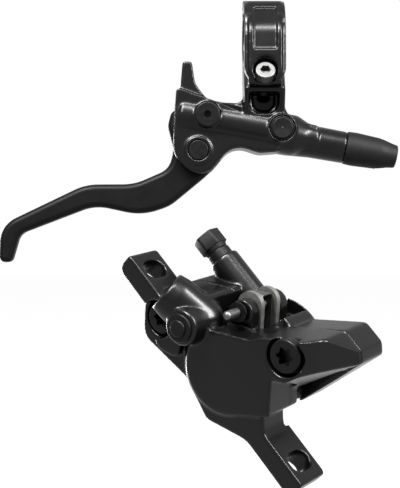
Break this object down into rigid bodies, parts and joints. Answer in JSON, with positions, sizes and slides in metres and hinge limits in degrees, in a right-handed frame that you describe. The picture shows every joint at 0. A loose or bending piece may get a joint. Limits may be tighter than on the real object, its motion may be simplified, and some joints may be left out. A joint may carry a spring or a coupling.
{
  "type": "hydraulic disc brake",
  "caption": "Bicycle hydraulic disc brake: flat-bar lever with master cylinder and hinged clamp, and a post-mount caliper with opposed pistons and pads.",
  "frame": {"origin": "on the axis of the handlebar clamp, in the middle of the clamp's width", "axes": "+X along the handlebar towards the hose end, +Z away from the blade in the plane that the blade moves in, +Y towards the lever's back; the caliper stands beside the lever at its real size, turned as the picture shows it"},
  "size_m": [0.1707, 0.1872, 0.1794],
  "materials": {
    "body_black": "gloss anodised",
    "blade_black": "satin",
    "bright_steel": "satin",
    "black_steel": "black oxide",
    "plate_steel": "dull",
    "piston_resin": "moulded",
    "piston_alloy": "machined",
    "bush_polymer": "moulded",
    "lining": "sintered look",
    "black_rubber": "matt",
    "nut_brass": "blackened",
    "black_plastic": "moulded"
  },
  "bodies": {
    "fixed_parts": {"lever_body": "body_black", "clamp_band": "body_black", "clamp_hinge_pin": "bright_steel", "clamp_bolt": "bright_steel", "pivot_pin": "black_steel", "pivot_retaining_ring": "black_steel", "piston_retaining_ring": "black_steel", "master_spring": "bright_steel", "bleed_screw": "black_steel", "bleed_screw_o_ring": "black_rubber", "reservoir_plug": "black_plastic", "reservoir_diaphragm": "black_rubber", "compression_nut": "nut_brass", "hose_cover": "black_rubber", "outer_half": "body_black", "inner_half": "body_black", "body_bolt_near": "black_steel", "body_bolt_far": "black_steel", "passage_o_ring": "black_rubber", "passage_plug": "black_steel", "pad_axle": "bright_steel", "pad_axle_clip": "black_steel", "bleed_nipple": "black_steel", "bleed_cap": "black_rubber", "outer_piston_seal": "black_rubber", "inner_piston_seal": "black_rubber", "pad_spring": "bright_steel"},
    "blade": {"lever_blade": "blade_black", "pivot_bush_front": "bush_polymer", "pivot_bush_back": "bush_polymer", "push_rod_pin": "bright_steel"},
    "push_rod": {"push_rod": "bright_steel"},
    "master_piston": {"master_piston": "piston_alloy", "primary_cup": "black_rubber", "secondary_cup": "black_rubber"},
    "outboard_pad": {"outer_piston": "piston_resin", "outer_pad_plate": "plate_steel", "outer_pad_lining": "lining"},
    "inboard_pad": {"inner_piston": "piston_resin", "inner_pad_plate": "plate_steel", "inner_pad_lining": "lining"}
  },
  "joints": [
    {"name": "lever_pivot", "type": "hinge", "parent": "fixed_parts", "child": "blade", "pos_m": [-0.0279, 0, -0.0497], "axis": [0, 1, 0], "range_deg": [0, 22], "stiffness_Nm_per_rad": 0.3, "springref_deg": -17.19},
    {"name": "push_rod_pivot", "type": "hinge", "parent": "blade", "child": "push_rod", "pos_m": [-0.03095, 0, -0.03615], "axis": [0, 1, 0], "range_deg": [-22.5, 0]},
    {"name": "master_piston_slide", "type": "slide", "parent": "fixed_parts", "child": "master_piston", "axis": [0.9842, 0, -0.1771], "range_m": [0, 0.0053], "deforming": ["master_spring"]},
    {"name": "outboard_piston_slide", "type": "slide", "parent": "fixed_parts", "child": "outboard_pad", "axis": [0.5925, 0.792, 0.1473], "range_m": [0, 0.00036]},
    {"name": "inboard_piston_slide", "type": "slide", "parent": "fixed_parts", "child": "inboard_pad", "axis": [-0.5925, -0.792, -0.1473], "range_m": [0, 0.00036]}
  ],
  "couplings": [
    {"joint": "push_rod_pivot", "follows": "lever_pivot", "ratio": -1},
    {"joint": "master_piston_slide", "follows": "lever_pivot", "m_per_rad": 0.01354},
    {"joint": "outboard_piston_slide", "follows": "lever_pivot", "m_per_rad": 0.0009},
    {"joint": "inboard_piston_slide", "follows": "lever_pivot", "m_per_rad": 0.0009}
  ]
}
